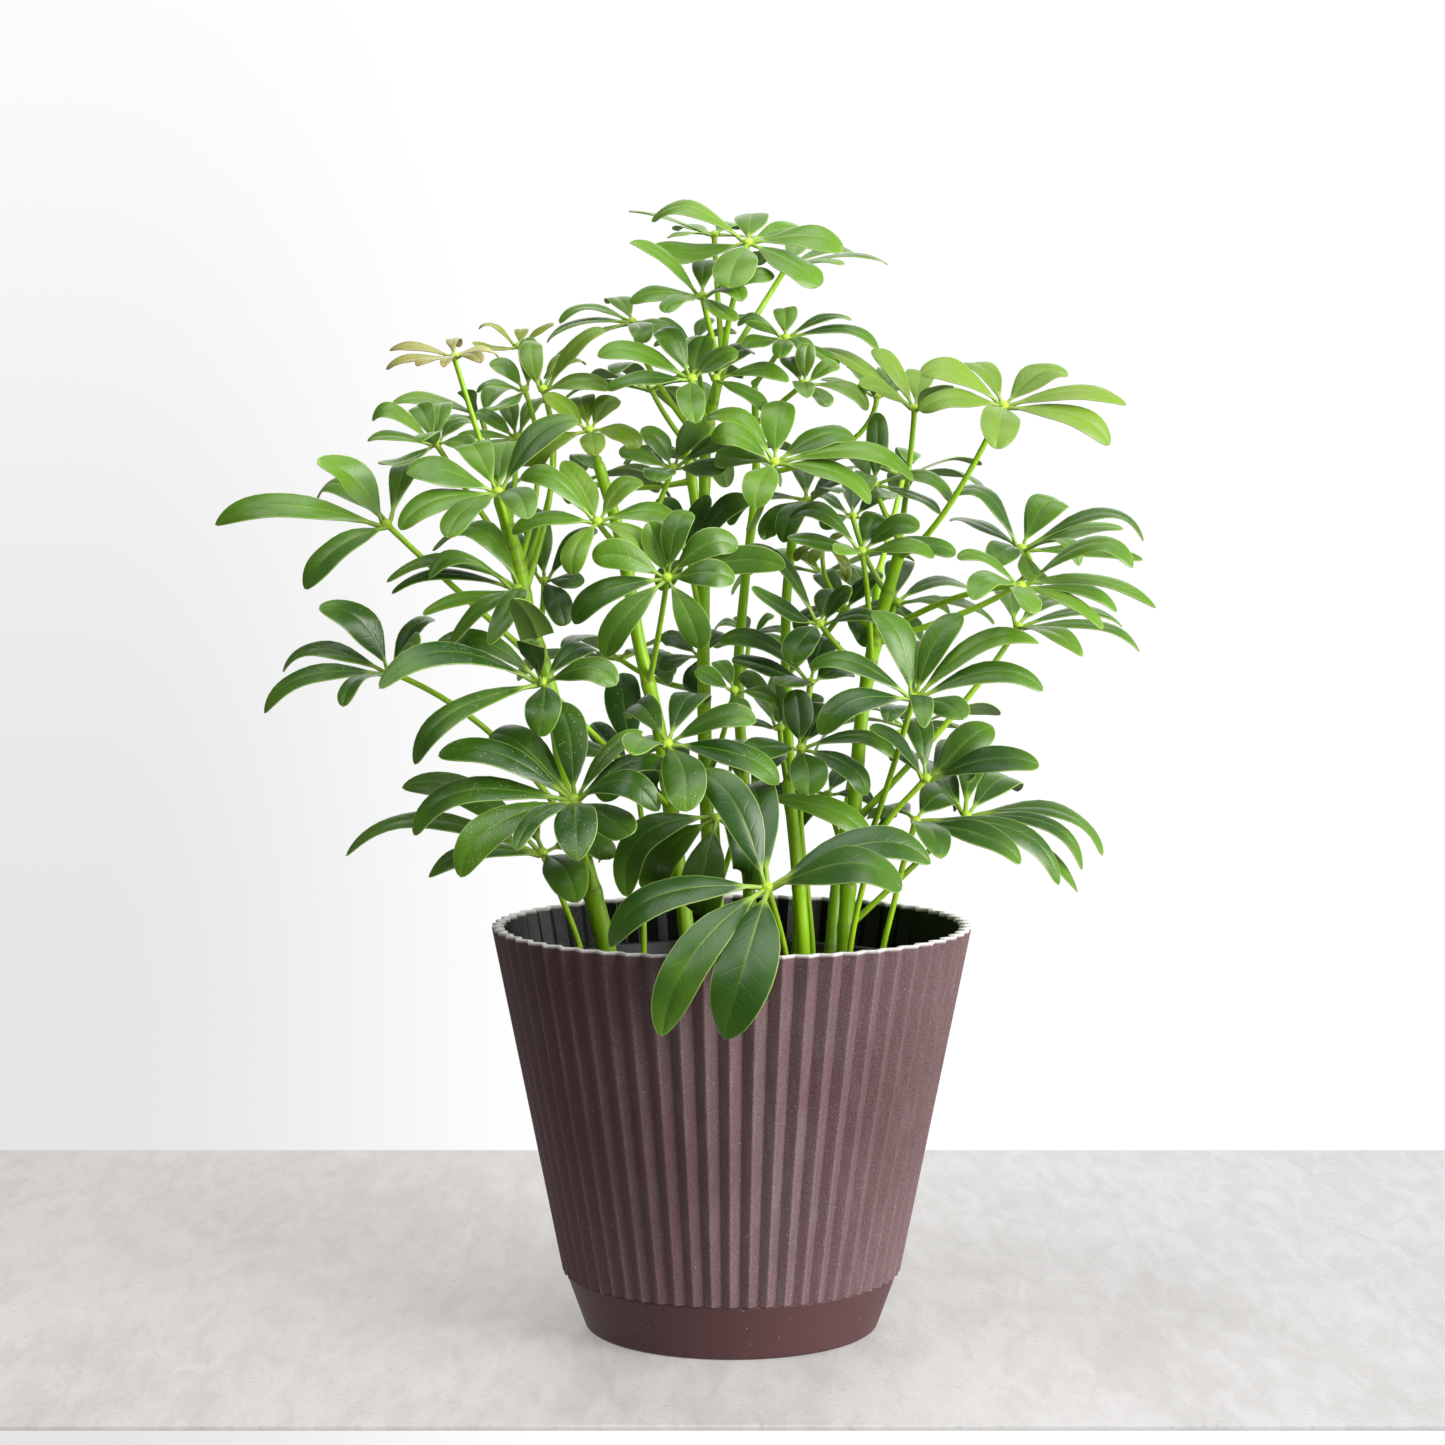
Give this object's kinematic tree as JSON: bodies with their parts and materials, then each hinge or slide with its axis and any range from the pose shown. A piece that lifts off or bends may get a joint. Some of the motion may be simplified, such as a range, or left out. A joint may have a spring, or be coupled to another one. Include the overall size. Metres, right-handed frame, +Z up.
{
  "type": "potted dwarf umbrella tree",
  "caption": "Bushy dwarf umbrella tree with palm-like compound leaves on slender green canes, standing in a tapered, fluted plum-brown cover pot.",
  "frame": {"origin": "centre of the pot's flat underside, where it rests", "axes": "+Z up along the pot's axis; -Y towards the side the picture was taken from; +X to the right in that picture"},
  "size_m": [0.345, 0.2702, 0.4225],
  "materials": {
    "pot_plum_brown": "matt, faintly grainy plum brown",
    "nursery_black": "satin black",
    "soil_dark": "rough dark peat and bark",
    "leaf_dark": "waxy deep green leaf",
    "leaf_mid": "waxy green leaf",
    "leaf_light": "soft light green young leaf",
    "leaf_gold": "yellow-green young leaf",
    "leaf_bronze": "bronze-tinted newest leaf"
  },
  "bodies": {
    "root": {"cover_pot": "pot_plum_brown", "nursery_pot": "nursery_black", "soil": "soil_dark", "stem_left": "leaf_mid", "stem_bright": "leaf_mid", "stem_centre": "leaf_mid", "stem_dark": "leaf_mid", "stem_short": "leaf_dark", "stem_slim": "leaf_dark", "stem_right": "leaf_mid", "stem_rear_left": "leaf_dark", "stem_rear_right": "leaf_dark", "leaf_low_left": "leaf_dark", "leaf_front": "leaf_dark", "leaf_front_left": "leaf_dark", "leaf_inner_left": "leaf_dark", "leaf_mid_right": "leaf_dark", "leaf_low_right": "leaf_dark", "leaf_shade": "leaf_dark", "leaf_light_right": "leaf_light", "leaf_light_crown": "leaf_light", "leaf_young_gold": "leaf_gold", "leaf_young_bronze": "leaf_bronze"}
  },
  "joints": []
}
